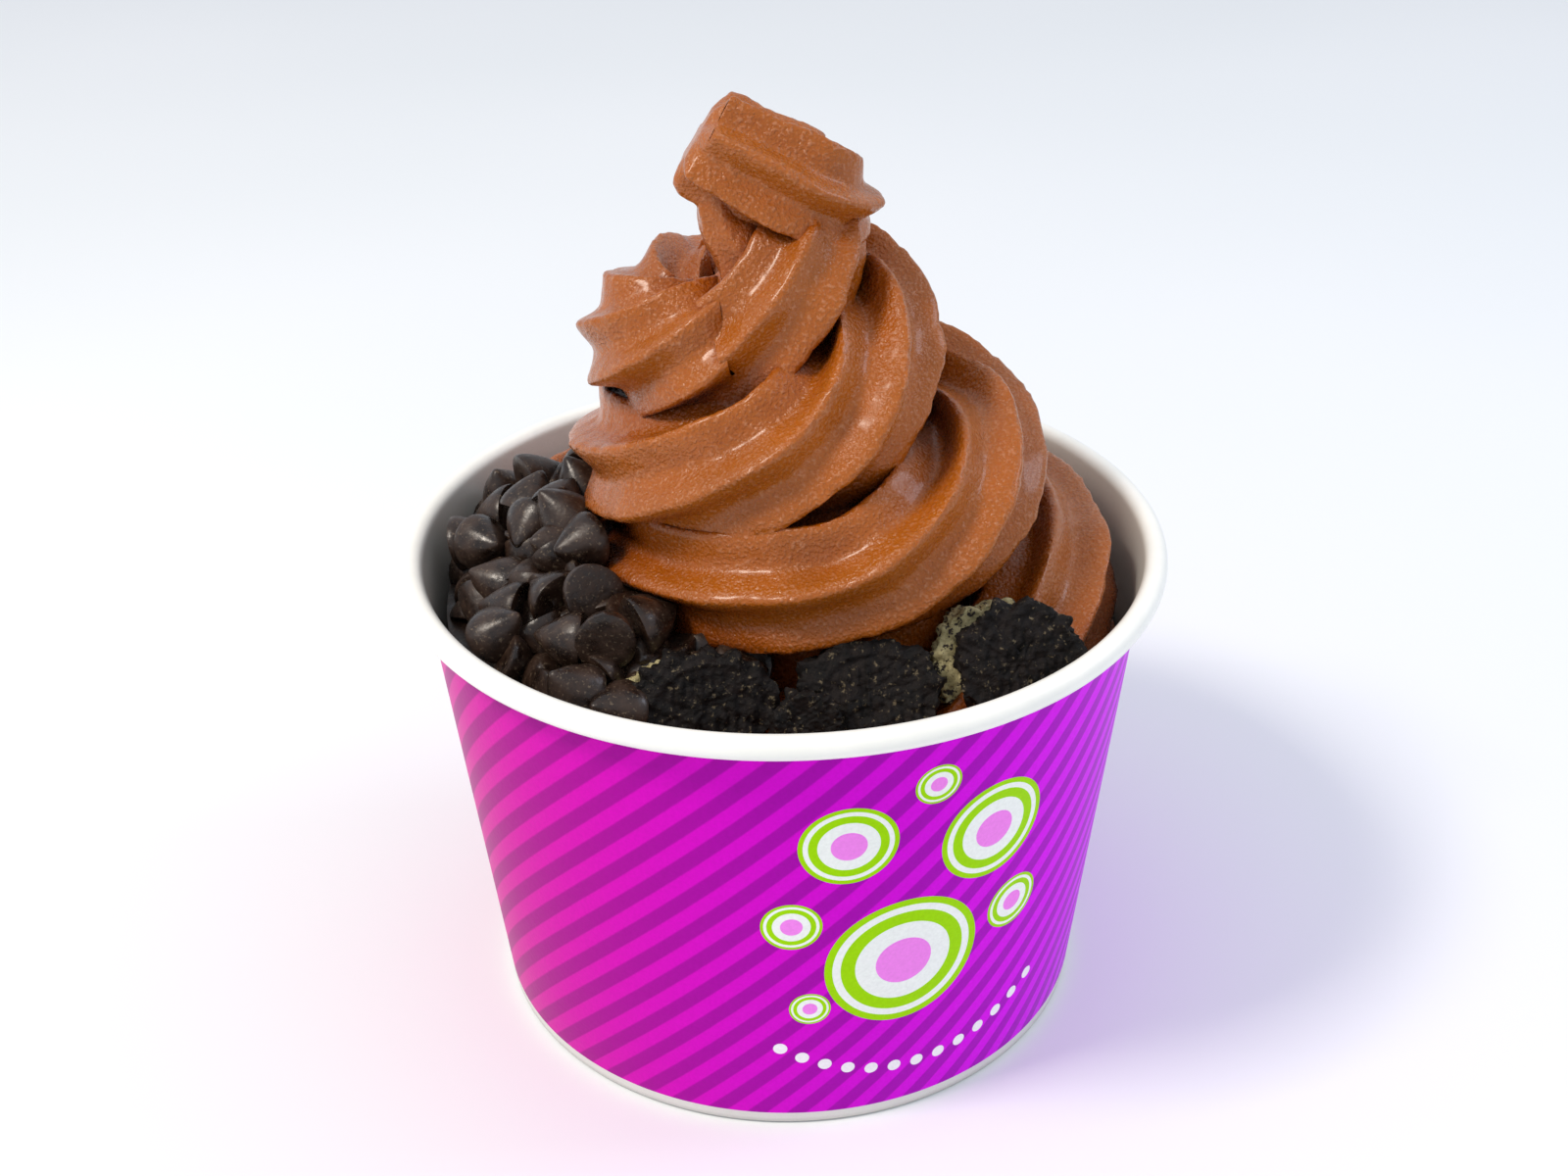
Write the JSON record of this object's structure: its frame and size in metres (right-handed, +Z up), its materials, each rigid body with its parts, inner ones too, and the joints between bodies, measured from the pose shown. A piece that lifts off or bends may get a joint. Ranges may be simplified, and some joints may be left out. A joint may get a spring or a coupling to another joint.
{
  "type": "frozen yogurt cup",
  "caption": "Paper tub of chocolate frozen yogurt piped in a tall star-nozzle swirl, with chocolate chips heaped on the left and broken sandwich cookies along the front.",
  "frame": {"origin": "on the table under the tub's axis", "axes": "+Z up along the tub's axis, -Y to the front, where the cookie pieces are, +X to the right, away from the chocolate chips"},
  "size_m": [0.112, 0.112, 0.1398],
  "materials": {
    "cup_wall": "coated paper, printed, satin",
    "cup_base": "coated white paper, satin",
    "frozen_yogurt": "soft, frosty, slightly wet",
    "chocolate_chips": "dark chocolate, satin with a dusty bloom",
    "cookie_wafer": "baked, rough and dry",
    "cookie_cream": "dry cream dusted with crumbs"
  },
  "bodies": {
    "root": {"cup_wall": "cup_wall", "cup_base": "cup_base", "frozen_yogurt": "frozen_yogurt", "chocolate_chips": "chocolate_chips", "cookie_left_front_wafer": "cookie_wafer", "cookie_left_back_wafer": "cookie_wafer", "cookie_middle_wafer": "cookie_wafer", "cookie_small_wafer": "cookie_wafer", "cookie_right_wafer": "cookie_wafer", "cookie_left_cream": "cookie_cream", "cookie_right_cream": "cookie_cream"}
  },
  "joints": []
}
